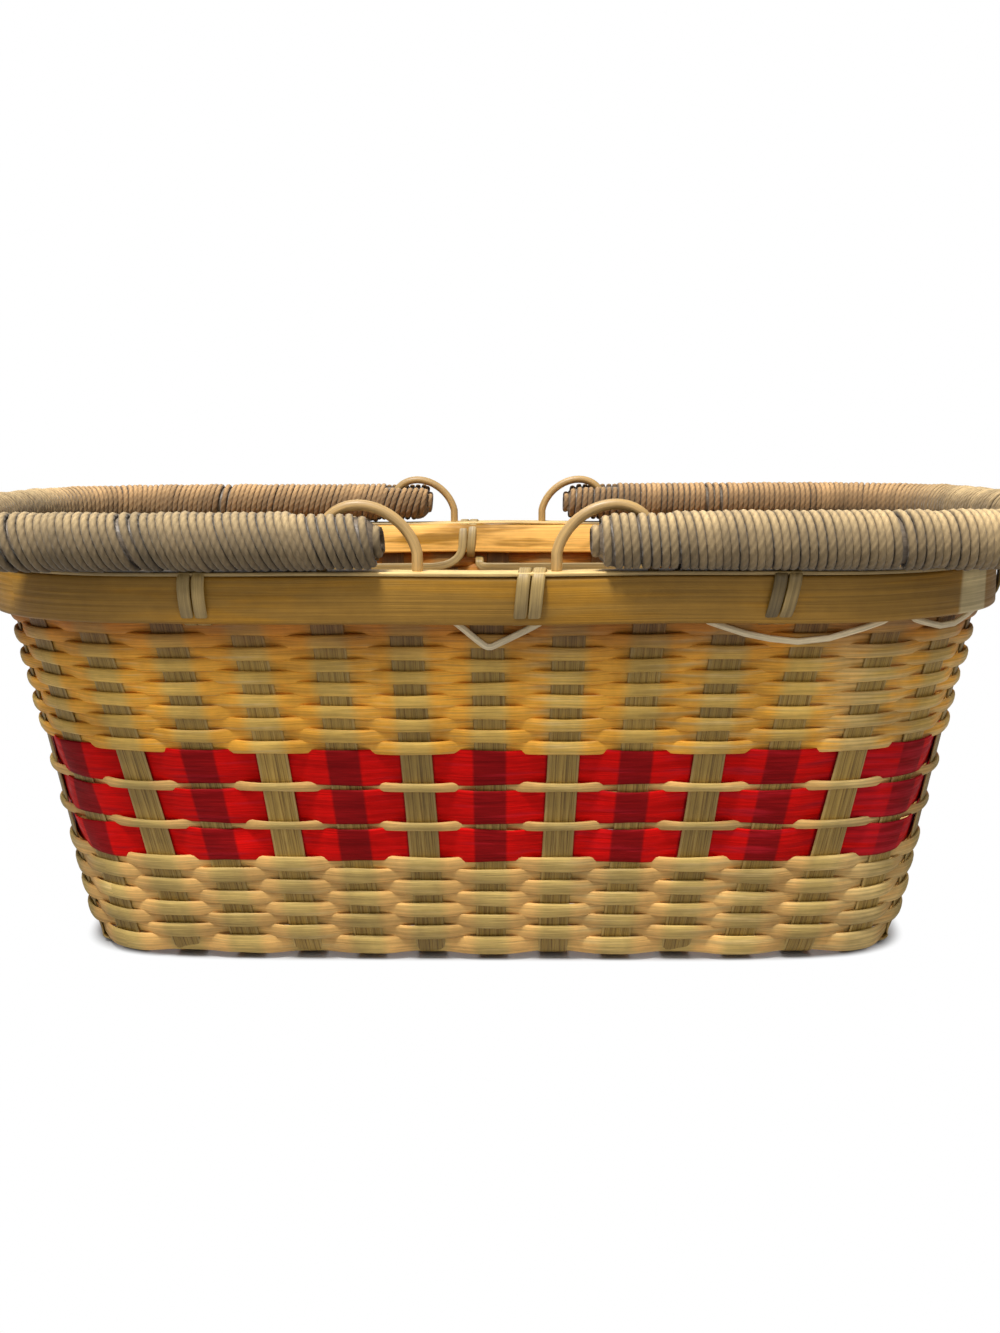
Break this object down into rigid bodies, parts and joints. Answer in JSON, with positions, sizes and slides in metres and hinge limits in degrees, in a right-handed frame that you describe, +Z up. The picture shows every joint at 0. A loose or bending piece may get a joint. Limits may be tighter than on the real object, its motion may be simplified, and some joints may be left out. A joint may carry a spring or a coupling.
{
  "type": "harvest basket",
  "caption": "Rectangular woven splint basket with flared sides, red bands, a lashed bamboo rim and two cord-wrapped swing handles.",
  "frame": {"origin": "bottom centre of the basket, on the surface that it stands on", "axes": "+X along the length, the pictured long side faces -Y, +Z up"},
  "size_m": [0.514, 0.2742, 0.1968],
  "materials": {
    "natural_splint": "thin natural splint, satin",
    "red_splint": "splint dyed red, semi-gloss",
    "bamboo_stake": "flat olive bamboo strip, fine grain",
    "bamboo_rim": "golden bamboo band, varnished",
    "pale_filler": "pale split cane, satin",
    "cane": "natural cane, satin",
    "cord": "twisted grass cord, matt"
  },
  "bodies": {
    "basket": {"cross_stake_1": "bamboo_stake", "cross_stake_2": "bamboo_stake", "cross_stake_3": "bamboo_stake", "cross_stake_4": "bamboo_stake", "cross_stake_5": "bamboo_stake", "cross_stake_6": "bamboo_stake", "cross_stake_7": "bamboo_stake", "cross_stake_8": "bamboo_stake", "cross_stake_9": "bamboo_stake", "cross_stake_10": "bamboo_stake", "cross_stake_11": "bamboo_stake", "cross_stake_12": "bamboo_stake", "cross_stake_13": "bamboo_stake", "long_stake_1": "bamboo_stake", "long_stake_2": "bamboo_stake", "long_stake_3": "bamboo_stake", "long_stake_4": "bamboo_stake", "long_stake_5": "bamboo_stake", "long_stake_6": "bamboo_stake", "lower_weaver_1": "natural_splint", "lower_weaver_2": "natural_splint", "lower_weaver_3": "natural_splint", "lower_weaver_4": "natural_splint", "lower_weaver_5": "natural_splint", "lower_weaver_6": "natural_splint", "lower_weaver_7": "natural_splint", "lower_weaver_8": "natural_splint", "thin_weaver_1": "natural_splint", "thin_weaver_2": "natural_splint", "upper_weaver_1": "natural_splint", "upper_weaver_2": "natural_splint", "upper_weaver_3": "natural_splint", "upper_weaver_4": "natural_splint", "upper_weaver_5": "natural_splint", "upper_weaver_6": "natural_splint", "upper_weaver_7": "natural_splint", "upper_weaver_8": "natural_splint", "upper_weaver_9": "natural_splint", "upper_weaver_10": "natural_splint", "upper_weaver_11": "natural_splint", "red_weaver_1": "red_splint", "red_weaver_2": "red_splint", "red_weaver_3": "red_splint", "rim_outer_band": "bamboo_rim", "rim_inner_band": "bamboo_rim", "rim_filler": "pale_filler", "rim_lashing": "cane", "hinge_loop_front_left": "cane", "hinge_loop_back_left": "cane", "hinge_loop_front_right": "cane", "hinge_loop_back_right": "cane"},
    "left_handle": {"left_handle_cane": "cord", "left_handle_wrap_front": "cord", "left_handle_wrap_back": "cord"},
    "right_handle": {"right_handle_cane": "cord", "right_handle_wrap_front": "cord", "right_handle_wrap_back": "cord"}
  },
  "joints": [
    {"name": "left_handle_swing", "type": "hinge", "parent": "basket", "child": "left_handle", "pos_m": [-0.04287, 0, 0.1774], "axis": [0, 1, 0], "range_deg": [0, 95]},
    {"name": "right_handle_swing", "type": "hinge", "parent": "basket", "child": "right_handle", "pos_m": [0.04287, 0, 0.1774], "axis": [0, -1, 0], "range_deg": [0, 95]}
  ]
}
